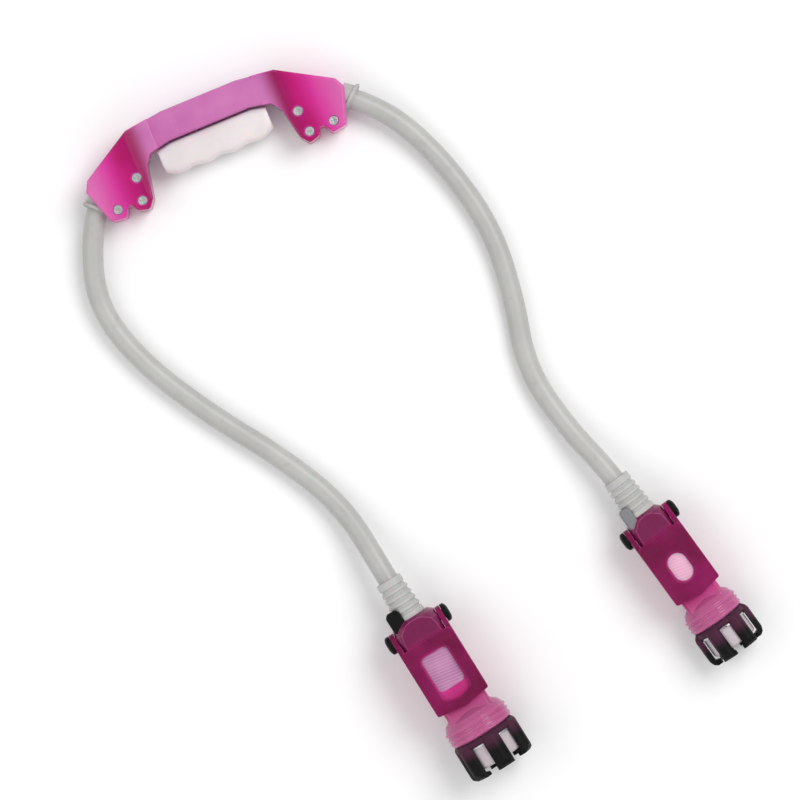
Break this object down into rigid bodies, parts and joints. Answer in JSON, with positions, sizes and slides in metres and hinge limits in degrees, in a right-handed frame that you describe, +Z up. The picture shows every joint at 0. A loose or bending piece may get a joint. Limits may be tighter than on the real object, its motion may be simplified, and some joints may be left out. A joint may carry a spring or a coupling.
{
  "type": "dogbone power adapter",
  "caption": "Short heavy power cord with a locking plug on one end and a locking connector on the other, fold-flat pull bails, turning lock rings, and a bridge handle round its middle.",
  "frame": {"origin": "bottom centre of the box round the handle and the two ends, on the surface it lies on", "axes": "+Z up, +X along the handle, +Y from the ends towards the handle"},
  "size_m": [0.3236, 0.4798, 0.0478],
  "materials": {
    "shell_magenta": "glossy translucent moulding",
    "handle_pink": "glossy moulding",
    "bail_magenta": "glossy moulding",
    "black_plastic": "fine texture",
    "pale_plastic": "satin",
    "relief_rubber": "satin",
    "seal_rubber": "smooth",
    "cord_jacket": "satin extruded jacket",
    "pad_silicone": "soft matt",
    "plug_lens": "polished",
    "connector_lens": "polished",
    "lamp": "clear lens",
    "board": "lacquered board",
    "brass": "machined",
    "steel": "zinc plated",
    "clamp_plastic": "moulded",
    "wire_green": "satin",
    "wire_black": "satin",
    "wire_white": "satin"
  },
  "bodies": {
    "main": {"connector_bail_pins": "black_plastic", "connector_clamp_screws": "steel", "connector_collar": "pale_plastic", "connector_contact_carrier": "black_plastic", "connector_contacts": "brass", "connector_cord_clamp": "clamp_plastic", "connector_cord_grip": "clamp_plastic", "connector_earth_wire": "wire_green", "connector_gasket": "seal_rubber", "connector_lamp": "lamp", "connector_lamp_board": "board", "connector_lens": "connector_lens", "connector_live_wire": "wire_black", "connector_lower_shell": "shell_magenta", "connector_neutral_wire": "wire_white", "connector_ring_clip": "steel", "connector_shell_screws": "steel", "connector_strain_relief": "relief_rubber", "connector_terminal_screws": "steel", "connector_upper_shell": "shell_magenta", "cord": "cord_jacket", "grip_pad": "pad_silicone", "handle_left_bush": "relief_rubber", "handle_lower_shell": "handle_pink", "handle_nuts": "steel", "handle_right_bush": "relief_rubber", "handle_screws": "steel", "handle_upper_shell": "handle_pink", "plug_bail_pins": "black_plastic", "plug_clamp_screws": "steel", "plug_collar": "pale_plastic", "plug_contact_carrier": "black_plastic", "plug_contacts": "brass", "plug_cord_clamp": "clamp_plastic", "plug_cord_grip": "black_plastic", "plug_earth_wire": "wire_green", "plug_gasket": "seal_rubber", "plug_lamp": "lamp", "plug_lamp_board": "board", "plug_lens": "plug_lens", "plug_live_wire": "wire_black", "plug_lower_shell": "shell_magenta", "plug_neutral_wire": "wire_white", "plug_ring_clip": "steel", "plug_shell_screws": "steel", "plug_strain_relief": "relief_rubber", "plug_terminal_screws": "steel", "plug_upper_shell": "shell_magenta"},
    "plug_bail": {"plug_bail": "bail_magenta"},
    "connector_bail": {"connector_bail": "bail_magenta"},
    "plug_ring": {"plug_locking_ring": "black_plastic"},
    "connector_ring": {"connector_locking_ring": "black_plastic"}
  },
  "joints": [
    {"name": "plug_bail_hinge", "type": "hinge", "parent": "main", "child": "plug_bail", "pos_m": [-0.05572, -0.13378, 0.0284], "axis": [-0.9863, -0.165, 0], "range_deg": [0, 90]},
    {"name": "connector_bail_hinge", "type": "hinge", "parent": "main", "child": "connector_bail", "pos_m": [0.1084, -0.12915, 0.02354], "axis": [-0.9724, -0.2334, 0], "range_deg": [0, 90]},
    {"name": "plug_ring_turn", "type": "hinge", "parent": "main", "child": "plug_ring", "pos_m": [-0.04202, -0.21564, 0.024], "axis": [0.165, -0.9863, 0], "continuous": true},
    {"name": "connector_ring_turn", "type": "hinge", "parent": "main", "child": "connector_ring", "pos_m": [0.12708, -0.20694, 0.01914], "axis": [0.2334, -0.9724, 0], "continuous": true}
  ]
}
